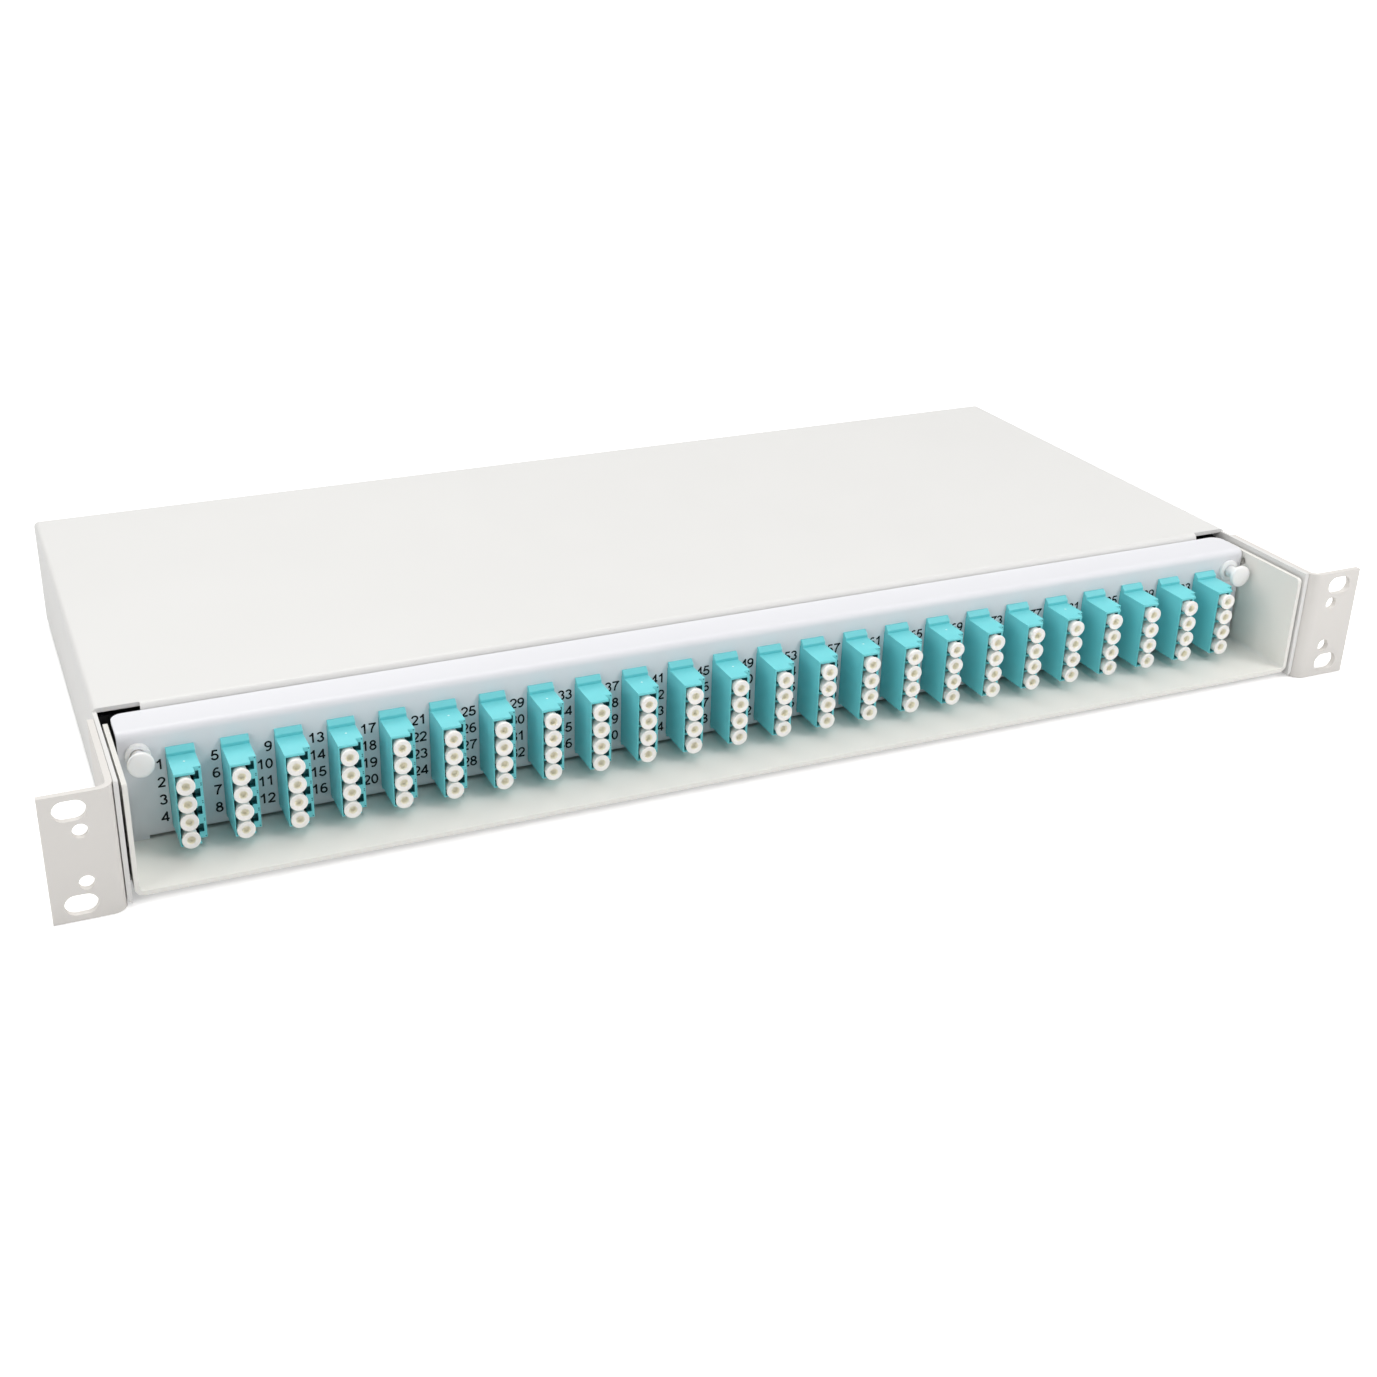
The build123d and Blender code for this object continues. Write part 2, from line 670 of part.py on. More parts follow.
def make_cassette(place, level):
    """One splice cassette: an open tray with cut corners, a slotted block and fibre notches."""
    with BuildPart() as cassette:
        with BuildSketch(Plane.XY.offset(level)):
            with Locations((place, cassette_place_back)):
                Rectangle(cassette_width, cassette_depth)
            chamfer(vertices(), cassette_corner)
        extrude(amount=cassette_height)
        with BuildSketch(Plane.XY.offset(level + cassette_wall)):
            with Locations((place, cassette_place_back)):
                Rectangle(cassette_width - 2 * cassette_wall, cassette_depth - 2 * cassette_wall)
            chamfer(vertices(), cassette_corner)
        extrude(amount=cassette_height, mode=Mode.SUBTRACT)
        # Block with a slot for each pair of splices
        with BuildSketch(Plane.XY.offset(level + cassette_wall)):
            with Locations((place, splice_block_place_back)):
                Rectangle(splice_block_width, splice_block_depth)
        extrude(amount=splice_block_height)
        with BuildSketch(Plane.XY.offset(level + cassette_wall + splice_block_height)):
            with Locations((place, splice_block_place_back)):
                with GridLocations(0, splice_block_depth / splice_slots, 1, splice_slots):
                    Rectangle(splice_block_width, splice_slot_width)
        extrude(amount=-splice_slot_depth, mode=Mode.SUBTRACT)
        # Notches for the fibres in the front wall
        with BuildSketch(Plane.XY.offset(level + cassette_wall)):
            with Locations((place, cassette_place_back - cassette_depth / 2)):
                with GridLocations(cassette_width / 2, 0, 2, 1):
                    Rectangle(fibre_notch, 4 * cassette_wall)
        extrude(amount=cassette_height, mode=Mode.SUBTRACT)
        with BuildSketch(Plane.XY.offset(level)):
            with Locations((place, cassette_place_back)):
                RegularPolygon(cassette_hole_radius, fastener_sides)
        extrude(amount=cassette_wall, mode=Mode.SUBTRACT)
    return cassette


def make_cassette_cover(place):
    """The flat cover over a stack of two cassettes."""
    with BuildPart() as cover:
        with BuildSketch(Plane.XY.offset(cover_level)):
            with Locations((place, cassette_place_back)):
                Rectangle(cassette_width, cassette_depth)
            chamfer(vertices(), cassette_corner)
            with Locations((place, cassette_place_back)):
                RegularPolygon(cassette_hole_radius, fastener_sides, mode=Mode.SUBTRACT)
        extrude(amount=cover_thickness)
    return cover


for side, name in ((-1, "left"), (1, "right")):
    stack_place = side * cassette_place_across
    save(make_cassette(stack_place, cassette_level), f"splice_cassette_{name}_lower")
    save(make_cassette(stack_place, cassette_level + cassette_height), f"splice_cassette_{name}_upper")
    save(make_cassette_cover(stack_place), f"cassette_cover_{name}")

# Studs and hexagon nuts that clamp the cassettes on the tray
stud_top = cover_level + cover_thickness + cassette_stud_extra
with BuildPart() as cassette_studs:
    with BuildSketch(Plane.XY.offset(tray_bottom)):
        with Locations(*cassette_places):
            RegularPolygon(cassette_stud_radius, fastener_sides)
    extrude(amount=stud_top - tray_bottom)
save(cassette_studs, "cassette_studs")

with BuildPart() as cassette_nuts:
    with BuildSketch(Plane.XY.offset(cover_level + cover_thickness)):
        with Locations(*cassette_places):
            RegularPolygon(cassette_nut_radius, 6)
            RegularPolygon(cassette_hole_radius, fastener_sides, mode=Mode.SUBTRACT)
    extrude(amount=cassette_nut_height)
save(cassette_nuts, "cassette_nuts")

# Open clips that guide the fibres from the adapters to the cassettes
with BuildPart() as fibre_clips:
    with BuildSketch(facing_front(clip_place_back)):
        with Locations(*[(place, floor_top) for place in clip_places]):
            Rectangle(clip_width, clip_height, align=(Align.CENTER, Align.MIN))
        with Locations(*[(place, floor_top + clip_wall) for place in clip_places]):
            Rectangle(
                clip_width - 2 * clip_wall,
                clip_height - 2 * clip_wall,
                align=(Align.CENTER, Align.MIN),
                mode=Mode.SUBTRACT,
            )
            Rectangle(clip_mouth, clip_height, align=(Align.CENTER, Align.MIN), mode=Mode.SUBTRACT)
    extrude(amount=-clip_depth)
save(fibre_clips, "fibre_clips")

# Posts that the incoming cables are tied to
with BuildPart() as cable_posts:
    with BuildSketch(facing_front(post_place_back)):
        with Locations(*[(place, floor_top) for place in post_places]):
            Rectangle(post_stem_width, post_height, align=(Align.CENTER, Align.MIN))
        with Locations(*[(place, floor_top + post_height) for place in post_places]):
            Rectangle(post_width, post_bar_height, align=(Align.CENTER, Align.MAX))
    extrude(amount=-post_depth)
save(cable_posts, "cable_posts")


def make_gland(place):
    """A cable gland: a hexagon on the rear panel, a domed nut and a threaded neck inside."""
    hex_back = housing_back + gland_hex_length
    with BuildPart() as gland:
        with BuildSketch(facing_front(housing_back)):
            with Locations((place, 0)):
                RegularPolygon(gland_across_flats / 2, 6, major_radius=False)
        extrude(amount=-gland_hex_length)
        with BuildSketch(facing_front(hex_back)):
            with Locations((place, 0)):
                RegularPolygon(gland_dome_radius, round_sides)
        with BuildSketch(facing_front(hex_back + gland_dome_length)):
            with Locations((place, 0)):
                RegularPolygon(gland_mouth_radius, round_sides)
        loft(ruled=True)
        with BuildSketch(facing_front(housing_back)):
            with Locations((place, 0)):
                RegularPolygon(gland_thread_radius, round_sides)
        extrude(amount=panel_sheet + gland_inner_length)
        with BuildSketch(facing_front(hex_back + gland_dome_length)):
            with Locations((place, 0)):
                Circle(gland_bore_radius)
        extrude(
            amount=gland_dome_length + gland_hex_length + panel_sheet + gland_inner_length,
            mode=Mode.SUBTRACT,
        )
    return gland


gland_places = (entry_places[0], entry_places[-1])
plug_places = entry_places[1:-1]
save(make_gland(gland_places[0]), "cable_gland_left")
save(make_gland(gland_places[1]), "cable_gland_right")

with BuildPart() as gland_locknuts:
    with BuildSketch(facing_front(housing_back - panel_sheet)):
        with Locations(*[(place, 0) for place in gland_places]):
            RegularPolygon(locknut_across_flats / 2, 6, major_radius=False)
            Circle(gland_thread_radius + locknut_clearance, mode=Mode.SUBTRACT)
    extrude(amount=locknut_thickness)
save(gland_locknuts, "gland_locknuts")

# Plugs in the two cable entries that have no gland
with BuildPart() as blanking_plugs:
    with BuildSketch(facing_front(housing_back)):
        with Locations(*[(place, 0) for place in plug_places]):
            RegularPolygon(plug_head_radius, round_sides)
    extrude(amount=-plug_head_thickness)
    with BuildSketch(facing_front(housing_back)):
        with Locations(*[(place, 0) for place in plug_places]):
            RegularPolygon(gland_thread_radius, round_sides)
    extrude(amount=panel_sheet + plug_head_thickness)
save(blanking_plugs, "blanking_plugs")
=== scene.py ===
import math

import bmesh
import bpy
from mathutils import Matrix, Vector


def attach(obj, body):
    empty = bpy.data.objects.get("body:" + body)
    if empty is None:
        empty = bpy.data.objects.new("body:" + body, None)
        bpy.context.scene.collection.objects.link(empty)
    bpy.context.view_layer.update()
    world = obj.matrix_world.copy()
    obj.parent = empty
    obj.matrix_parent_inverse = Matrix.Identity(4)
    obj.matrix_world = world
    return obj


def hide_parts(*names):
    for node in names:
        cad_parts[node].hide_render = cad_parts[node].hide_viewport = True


# The looks of a sliding 19-inch fibre patch panel. Places are in the part's
# own frame: +X is the panel's right, +Y its back and +Z up, from the middle of
# the rack slots. They are in millimetres until they are written into a mesh.
# The lamps, the floor and the distances in the materials are in metres.
MM = 0.001

# Sizes shared with the part
plate_front = 31.1
adapter_count = 24
adapter_pitch = 17.07
adapter_row_shift = 0.7
adapter_height_place = -1.1
adapter_width = 8.9
adapter_height = 25.4
adapter_face = 16.4
adapter_back = 53.4
adapter_flange_top = 14.3
adapter_flange_bottom = -15.5
adapter_flange_front = 29.0
port_count = 4
port_pitch = 6.25
port_size = 5.3
port_shift = -1.4
port_height_place = -1.3
latch_place = 208.5
latch_height = 13.0
grommet_front = 29.9
plunger_front = 23.2
housing_back = 224.5
gland_places = (-150.0, 150.0)
plug_places = (-60.0, 60.0)
thread_radius = 9.95
ear_outer = 221.25
ear_screw_places = (12.0, 30.0)
floor_level = -21.3

# Sizes that several functions need; seat_gap holds a piece just clear of the sheet it sits on
strip_start = 2.0
strip_back = 3.4
port_deep = 9.0
seat_gap = 0.02

# Places that follow from the sizes
adapter_bottom = adapter_height_place - adapter_height / 2
adapter_top = adapter_height_place + adapter_height / 2
adapter_places = [
    adapter_row_shift + (number - (adapter_count - 1) / 2) * adapter_pitch
    for number in range(adapter_count)
]
port_columns = [place + port_shift for place in adapter_places]
port_heights = [
    port_height_place + ((port_count - 1) / 2 - row) * port_pitch
    for row in range(port_count)
]

# The photograph's camera
camera_azimuth = -21.77
camera_elevation = 24.884
camera_roll = 0.241
camera_distance = 551.693
camera_target = (-70.412, -2.0, 40.443)
focal_pixels = 1762.137
centre_pixels = (592.423, 648.258)
image_pixels = 1377


# Materials
def new_material(name):
    """A new material with its node tree and its shader."""
    material = bpy.data.materials.new(name)
    material.use_nodes = True
    tree = material.node_tree
    shader = tree.nodes["Principled BSDF"]
    return material, tree, shader


def noise(tree, scale, detail=2.0, stretch=(1, 1, 1)):
    """A noise texture in the object's own space, in steps per metre."""
    place = tree.nodes.new("ShaderNodeTexCoord")
    mapping = tree.nodes.new("ShaderNodeMapping")
    mapping.inputs["Scale"].default_value = stretch
    texture = tree.nodes.new("ShaderNodeTexNoise")
    texture.inputs["Scale"].default_value = scale
    texture.inputs["Detail"].default_value = detail
    tree.links.new(place.outputs["Object"], mapping.inputs["Vector"])
    tree.links.new(mapping.outputs["Vector"], texture.inputs["Vector"])
    return texture


def vary_colour(tree, shader, colour, scale, amount):
    """Lets a colour drift a little lighter and darker over the surface."""
    texture = noise(tree, scale, detail=3.0)
    mix = tree.nodes.new("ShaderNodeMix")
    mix.data_type = "RGBA"
    mix.inputs["A"].default_value = (*[c * (1 - amount) for c in colour], 1)
    mix.inputs["B"].default_value = (*[min(1, c * (1 + amount)) for c in colour], 1)
    tree.links.new(texture.outputs["Fac"], mix.inputs["Factor"])
    tree.links.new(mix.outputs["Result"], shader.inputs["Base Color"])


def vary_roughness(tree, shader, scale, low, high):
    """Lets the gloss change a little over the surface."""
    texture = noise(tree, scale)
    spread = tree.nodes.new("ShaderNodeMapRange")
    spread.inputs["To Min"].default_value = low
    spread.inputs["To Max"].default_value = high
    tree.links.new(texture.outputs["Fac"], spread.inputs["Value"])
    tree.links.new(spread.outputs["Result"], shader.inputs["Roughness"])


def add_bump(tree, shader, scale, strength, distance, detail=2.0, stretch=(1, 1, 1)):
    """Fine relief that breaks up the highlights."""
    texture = noise(tree, scale, detail, stretch)
    bump = tree.nodes.new("ShaderNodeBump")
    bump.inputs["Strength"].default_value = strength
    bump.inputs["Distance"].default_value = distance
    tree.links.new(texture.outputs["Fac"], bump.inputs["Height"])
    tree.links.new(bump.outputs["Normal"], shader.inputs["Normal"])


def powder_coat(name, colour):
    """Light powder coat with a fine orange peel."""
    material, tree, shader = new_material(name)
    vary_colour(tree, shader, colour, scale=14.0, amount=0.012)
    vary_roughness(tree, shader, scale=60.0, low=0.42, high=0.52)
    add_bump(tree, shader, scale=2600.0, strength=0.12, distance=0.00008, detail=3.0)
    shader.inputs["Specular IOR Level"].default_value = 0.4
    return material


def moulded_plastic(name, colour, roughness, glow=0.0):
    """Moulded plastic; glow is how much light travels under its surface."""
    spread = 0.04
    glow_reach = (0.0012, 0.0011, 0.001)
    material, tree, shader = new_material(name)
    vary_colour(tree, shader, colour, scale=90.0, amount=0.02)
    vary_roughness(tree, shader, scale=400.0, low=roughness - spread, high=roughness + spread)
    add_bump(tree, shader, scale=1800.0, strength=0.06, distance=0.00005)
    if glow:
        shader.inputs["Subsurface Weight"].default_value = glow
        shader.inputs["Subsurface Radius"].default_value = glow_reach
        shader.inputs["Subsurface Scale"].default_value = 1.0
    return material


def zinc_plate(name):
    """Zinc-plated steel with fine turning marks."""
    zinc_colour = (0.62, 0.62, 0.6)
    material, tree, shader = new_material(name)
    vary_colour(tree, shader, zinc_colour, scale=300.0, amount=0.05)
    vary_roughness(tree, shader, scale=500.0, low=0.25, high=0.4)
    add_bump(tree, shader, scale=1500.0, strength=0.1, distance=0.00005, stretch=(1, 1, 12))
    shader.inputs["Metallic"].default_value = 1.0
    return material


def printed_ink(name):
    """Flat black screen print."""
    ink_colour = (0.006, 0.006, 0.008)
    material, tree, shader = new_material(name)
    vary_colour(tree, shader, ink_colour, scale=900.0, amount=0.2)
    vary_roughness(tree, shader, scale=700.0, low=0.5, high=0.6)
    shader.inputs["Specular IOR Level"].default_value = 0.15
    return material


# Mesh tools
def mesh_object(name, mesh_data, material):
    """Turns a bmesh into an object in the scene."""
    mesh = bpy.data.meshes.new(name)
    bmesh.ops.recalc_face_normals(mesh_data, faces=mesh_data.faces[:])
    mesh_data.to_mesh(mesh)
    mesh_data.free()
    piece = bpy.data.objects.new(name, mesh)
    bpy.context.scene.collection.objects.link(piece)
    piece.data.materials.append(material)
    return piece


def shade_smoothly(piece):
    """Shades all the faces of a piece as one smooth surface."""
    for face in piece.data.polygons:
        face.use_smooth = True


def add_bevel(piece, width, segments, angle, harden):
    """Rounds the edges that turn by more than an angle in degrees."""
    bevel = piece.modifiers.new("edges", "BEVEL")
    bevel.width = width * MM
    bevel.segments = segments
    bevel.limit_method = "ANGLE"
    bevel.angle_limit = math.radians(angle)
    bevel.harden_normals = harden


def soften(piece, width, segments=2):
    """Rounds a piece's sharp edges a little and shades it smoothly."""
    shade_smoothly(piece)
    add_bevel(piece, width, segments, angle=35.0, harden=True)


def new_corner(mesh_data, x, y, z):
    """A corner at a place in millimetres."""
    return mesh_data.verts.new((x * MM, y * MM, z * MM))


def join_loops(mesh_data, first, second):
    """A band of faces between two closed loops of corners; a loop of one corner is a tip."""
    count = max(len(first), len(second))
    for step in range(count):
        after = (step + 1) % count
        if len(first) == 1:
            mesh_data.faces.new((first[0], second[step], second[after]))
        elif len(second) == 1:
            mesh_data.faces.new((first[step], first[after], second[0]))
        else:
            mesh_data.faces.new((first[step], first[after], second[after], second[step]))


def add_lathe(mesh_data, profile, centre, axis, segments=40):
    """Turns (radius, place along the axis) points round an axis through a centre."""
    along = "xyz".index(axis)
    first, second = [index for index in range(3) if index != along]
    loops = []
    for radius, place in profile:
        loop = []
        for step in range(segments if radius else 1):
            turn = 2 * math.pi * step / segments
            point = [0.0, 0.0, 0.0]
            point[along] = place
            point[first] = centre[0] + radius * math.cos(turn)
            point[second] = centre[1] + radius * math.sin(turn)
            loop.append(new_corner(mesh_data, *point))
        loops.append(loop)
    for low, high in zip(loops, loops[1:]):
        join_loops(mesh_data, low, high)


def add_prism(mesh_data, first, second):
    """A solid between two outlines with the same number of points."""
    loops = [[new_corner(mesh_data, *point) for point in outline] for outline in (first, second)]
    for loop in loops:
        mesh_data.faces.new(loop)
    join_loops(mesh_data, *loops)


def add_box(mesh_data, low, high):
    """A plain box between two corners."""
    middle = [(a + b) / 2 * MM for a, b in zip(low, high)]
    size = [(b - a) * MM for a, b in zip(low, high)]
    place = Matrix.Translation(middle) @ Matrix.Diagonal((*size, 1))
    bmesh.ops.create_cube(mesh_data, size=1.0, matrix=place)


def add_stepped_block(mesh_data, x_cuts, z_cuts, front_of, back_of):
    """A block made of cells in X and Z, each with its own front and back place along Y.

    front_of(column, row) and back_of(column, row) return the places, so that a
    pocket is a cell whose front lies deeper than its neighbours' fronts."""
    last_column = len(x_cuts) - 2
    last_row = len(z_cuts) - 2
    cells = [(column, row) for column in range(last_column + 1) for row in range(last_row + 1)]
    levels = sorted({place_of(*cell) for cell in cells for place_of in (front_of, back_of)})
    corners = {}

    def face(*points):
        """A face whose corners are shared with its neighbours."""
        for point in points:
            if point not in corners:
                corners[point] = new_corner(mesh_data, *point)
        mesh_data.faces.new([corners[point] for point in points])

    def steps_between(start, stop):
        """The stretches from one depth to another, cut at every level between them."""
        stops = [level for level in levels if min(start, stop) <= level <= max(start, stop)]
        return zip(stops, stops[1:])

    def upright_wall(x, z0, z1, start, stop):
        """A wall that faces left or right, from one depth to another."""
        for low, high in steps_between(start, stop):
            face((x, low, z0), (x, low, z1), (x, high, z1), (x, high, z0))

    def level_wall(z, x0, x1, start, stop):
        """A wall that faces up or down, from one depth to another."""
        for low, high in steps_between(start, stop):
            face((x0, low, z), (x1, low, z), (x1, high, z), (x0, high, z))

    for column, row in cells:
        x0, x1 = x_cuts[column], x_cuts[column + 1]
        z0, z1 = z_cuts[row], z_cuts[row + 1]
        front = front_of(column, row)
        back = back_of(column, row)
        face((x0, front, z0), (x1, front, z0), (x1, front, z1), (x0, front, z1))
        face((x0, back, z0), (x0, back, z1), (x1, back, z1), (x1, back, z0))
        if column == 0:
            upright_wall(x0, z0, z1, front, back)
        if column == last_column:
            upright_wall(x1, z0, z1, front, back)
        else:
            upright_wall(x1, z0, z1, front, front_of(column + 1, row))
            upright_wall(x1, z0, z1, back, back_of(column + 1, row))
        if row == 0:
            level_wall(z0, x0, x1, front, back)
        if row == last_row:
            level_wall(z1, x0, x1, front, back)
        else:
            level_wall(z1, x0, x1, front, front_of(column, row + 1))
            level_wall(z1, x0, x1, back, back_of(column, row + 1))


# Quad adapters
def adapter_mesh(place):
    """One adapter's body: four ports, the latch slots beside them and the set-back strip."""
    keyway_end = 3.5
    keyway_depth = 5.4
    web_set_back = 1.3
    slot_low = -0.9
    slot_high = 1.9
    half_port = port_size / 2
    side = adapter_width / 2
    x_cuts = [-side, port_shift - half_port, port_shift + half_port, strip_start, keyway_end, side]
    across_kinds = ["wall", "port", "latch", "keyway", "strip"]
    z_cuts = [adapter_bottom]
    up_kinds = ["end"]
    for height in reversed(port_heights):
        z_cuts += [height - half_port, height + slot_low, height + slot_high, height + half_port]
        up_kinds += ["port", "slot", "port", "web"]
    z_cuts.append(adapter_top)
    up_kinds[-1] = "end"

    def front_of(column, row):
        """Where the front of a cell lies."""
        across = across_kinds[column]
        up = up_kinds[row]
        if across in ("port", "latch") and up in ("port", "slot"):
            return adapter_face + port_deep
        if across in ("port", "latch") and up == "web":
            return adapter_face + web_set_back
        if across == "keyway" and up == "slot":
            return adapter_face + keyway_depth
        if across in ("keyway", "strip"):
            return adapter_face + strip_back
        return adapter_face

    def back_of(column, row):
        """Where the back of a cell lies."""
        across = across_kinds[column]
        up = up_kinds[row]
        if across == "port" and up in ("port", "slot"):
            return adapter_back - port_deep
        if across in ("latch", "keyway") and up == "slot":
            return adapter_back - port_deep
        return adapter_back

    mesh_data = bmesh.new()
    add_stepped_block(mesh_data, x_cuts, z_cuts, front_of, back_of)
    bmesh.ops.translate(mesh_data, verts=mesh_data.verts[:], vec=(place * MM, 0, 0))
    return mesh_data


def shade_pockets(body, place):
    """Paints shade into the pockets: the strip's keyway pockets get the body's second material, a dark
    teal painted shade, and the ports its third, a near-black painted shade.
    """
    keyway_shade_material = 1
    port_shade_material = 2
    margin = 0.1
    shallow = adapter_face + strip_back + margin
    deep = adapter_face + port_deep + margin
    half_width = adapter_width / 2 - margin
    half_height = adapter_height / 2 - margin
    for face in body.data.polygons:
        x, y, z = [value / MM for value in face.center]
        across = x - place
        inside = abs(across) < half_width and abs(z - adapter_height_place) < half_height
        if inside and shallow < y < deep:
            in_strip = across > strip_start - margin
            face.material_index = keyway_shade_material if in_strip else port_shade_material


def adapter_flange_mesh(place):
    """The two ribs of an adapter's flange, above and below its body, with sloping fronts."""
    overlap = 0.4
    upper_rise = 1.0
    upper_inset = 0.2
    lower_thickness = 0.6
    lower_inset = 0.9
    slope_back = plate_front - 0.5
    lower_front = slope_back - lower_thickness
    back = plate_front - seat_gap
    upper = [
        (adapter_flange_front, adapter_top - overlap),
        (adapter_flange_front, adapter_top + upper_rise),
        (slope_back, adapter_flange_top - upper_inset),
        (back, adapter_flange_top - upper_inset),
        (back, adapter_top - overlap),
    ]
    lower = [
        (lower_front, adapter_bottom + overlap),
        (lower_front, adapter_bottom),
        (slope_back, adapter_flange_bottom + lower_inset),
        (back, adapter_flange_bottom + lower_inset),
        (back, adapter_bottom + overlap),
    ]
    left = place - adapter_width / 2
    right = place + adapter_width / 2
    mesh_data = bmesh.new()
    for outline in (upper, lower):
        add_prism(mesh_data, [(left, y, z) for y, z in outline], [(right, y, z) for y, z in outline])
    return mesh_data


def strip_hole_mesh(place):
    """Thin dark patches just in front of the set-back strip, painted shade that stands for its small
    holes, one below and one above each port.
    """
    hole_place = 3.95
    hole_steps = (-2.6, 3.0)
    half_width = 0.22
    half_height = 0.2
    thickness = 0.2
    raised = 0.015
    front = adapter_face + strip_back - raised
    middle = place + hole_place
    mesh_data = bmesh.new()
    for height in port_heights:
        for step in hole_steps:
            low = (middle - half_width, front, height + step - half_height)
            high = (middle + half_width, front + thickness, height + step + half_height)
            add_box(mesh_data, low, high)
    return mesh_data


def gate_mesh(place):
    """The small round mark that the mould leaves on top of an adapter."""
    gate_shift = 0.13
    gate_depth = 24.4
    profile = [
        (0, adapter_top + 0.05),
        (0.22, adapter_top + 0.05),
        (0.34, adapter_top + 0.02),
        (0.38, adapter_top - 0.02),
    ]
    mesh_data = bmesh.new()
    add_lathe(mesh_data, profile, (place + gate_shift, gate_depth), "z", segments=16)
    return mesh_data


def make_adapters(aqua, aqua_painted_shade, aqua_light, port_painted_shade):
    """All the adapters with their flanges, painted shade in their pockets and on their strip holes,
    and gate marks on some of them.
    """
    marked = (1, 4, 6, 8, 10, 12, 15, 17, 20)
    for number, place in enumerate(adapter_places, start=1):
        node = f"adapter_{number:02d}"
        body = mesh_object(f"{node}_look", adapter_mesh(place), aqua)
        body.data.materials.append(aqua_painted_shade)
        body.data.materials.append(port_painted_shade)
        shade_pockets(body, place)
        soften(body, width=0.16)
        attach(body, "drawer")
        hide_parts(node)
        flange = mesh_object(f"{node}_flange", adapter_flange_mesh(place), aqua)
        soften(flange, width=0.22, segments=3)
        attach(flange, "drawer")
        # Painted shade: dark patches on the strip stand for its small holes
        painted_hole_shade = mesh_object(f"{node}_windows", strip_hole_mesh(place), aqua_painted_shade)
        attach(painted_hole_shade, "drawer")
        if number in marked:
            mark = mesh_object(f"{node}_gate", gate_mesh(place), aqua_light)
            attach(mark, "drawer")


# Dust caps
def make_caps(white, inside):
    """Round dust caps with a blind bore, in one piece for each row of ports."""
    rim_front = 13.9
    rim_radius = 2.9
    neck_radius = 2.38
    bore_reach = 1.38
    bore_floor = rim_front + 1.7
    cap_back = rim_front + 7.5
    margin = 0.1
    profile = [
        (0, bore_floor),
        (1.1, bore_floor),
        (1.24, bore_floor - 0.2),
        (1.28, rim_front + 0.5),
        (bore_reach, rim_front + 0.24),
        (1.55, rim_front + 0.14),
        (2.25, rim_front + 0.1),
        (2.4, rim_front),
        (2.72, rim_front),
        (2.85, rim_front + 0.07),
        (rim_radius, rim_front + 0.2),
        (rim_radius, rim_front + 0.75),
        (2.8, rim_front + 0.92),
        (2.45, rim_front + 1.0),
        (neck_radius, rim_front + 1.2),
        (neck_radius, cap_back - 0.2),
        (2.2, cap_back),
        (0, cap_back),
    ]
    for row, height in enumerate(port_heights, start=1):
        mesh_data = bmesh.new()
        for column in port_columns:
            add_lathe(mesh_data, profile, (column, height), "y")
        caps = mesh_object(f"dust_caps_row_{row}_look", mesh_data, white)
        caps.data.materials.append(inside)
        shade_smoothly(caps)
        for face in caps.data.polygons:
            x, y, z = [value / MM for value in face.center]
            across = min(abs(x - column) for column in port_columns)
            if math.hypot(across, z - height) < bore_reach and y < bore_floor + margin:
                face.material_index = 1
        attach(caps, "dust_caps")
        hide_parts(f"dust_caps_row_{row}")


# Printed port numbers
def arc(centre, radii, start, stop, steps=14):
    """Points on part of an ellipse, with the angles in degrees."""
    points = []
    for step in range(steps + 1):
        turn = math.radians(start + (stop - start) * step / steps)
        points.append((centre[0] + radii[0] * math.cos(turn), centre[1] + radii[1] * math.sin(turn)))
    return points


def digit_strokes(digit):
    """The middle lines of a plain digit that is one unit high."""
    if digit == "0":
        return [arc((0.28, 0.5), (0.21, 0.45), 0, 360, steps=28)]
    if digit == "1":
        return [[(0.08, 0.73), (0.22, 0.82), (0.33, 0.97), (0.33, 0.0)]]
    if digit == "2":
        return [arc((0.28, 0.71), (0.21, 0.24), 175, -30) + [(0.3, 0.34), (0.06, 0.05), (0.52, 0.05)]]
    if digit == "3":
        upper = arc((0.27, 0.74), (0.19, 0.21), 165, -80)
        lower = arc((0.27, 0.28), (0.22, 0.24), 85, -165)
        return [upper, lower]
    if digit == "4":
        return [[(0.41, 0.0), (0.41, 0.94), (0.04, 0.27), (0.56, 0.27)]]
    if digit == "5":
        return [[(0.5, 0.95), (0.17, 0.95), (0.1, 0.5)] + arc((0.27, 0.31), (0.23, 0.27), 128, -165)]
    if digit == "6":
        loop = arc((0.29, 0.3), (0.21, 0.26), 180, -180, steps=26)
        tail = arc((0.34, 0.42), (0.26, 0.53), 182, 62)
        return [loop, tail]
    if digit == "7":
        return [[(0.04, 0.95), (0.53, 0.95), (0.36, 0.68), (0.26, 0.38), (0.21, 0.0)]]
    if digit == "8":
        upper = arc((0.28, 0.75), (0.17, 0.2), 0, 360, steps=24)
        lower = arc((0.28, 0.28), (0.21, 0.24), 0, 360, steps=26)
        return [upper, lower]
    loop = arc((0.27, 0.68), (0.21, 0.26), 0, 360, steps=26)
    tail = arc((0.22, 0.56), (0.26, 0.53), 2, -118)
    return [loop, tail]


def heading(start, stop):
    """The direction from one point to the next, as an angle."""
    return math.atan2(stop[1] - start[1], stop[0] - start[0])


def smooth_parts(points, sharp=50.0):
    """Cuts a line of points where it turns sharply; each part ends at the corner."""
    parts = [points[:2]]
    for before, corner, after in zip(points, points[1:], points[2:]):
        turn = math.remainder(heading(corner, after) - heading(before, corner), 2 * math.pi)
        if abs(turn) > math.radians(sharp):
            parts.append([corner])
        parts[-1].append(after)
    return parts


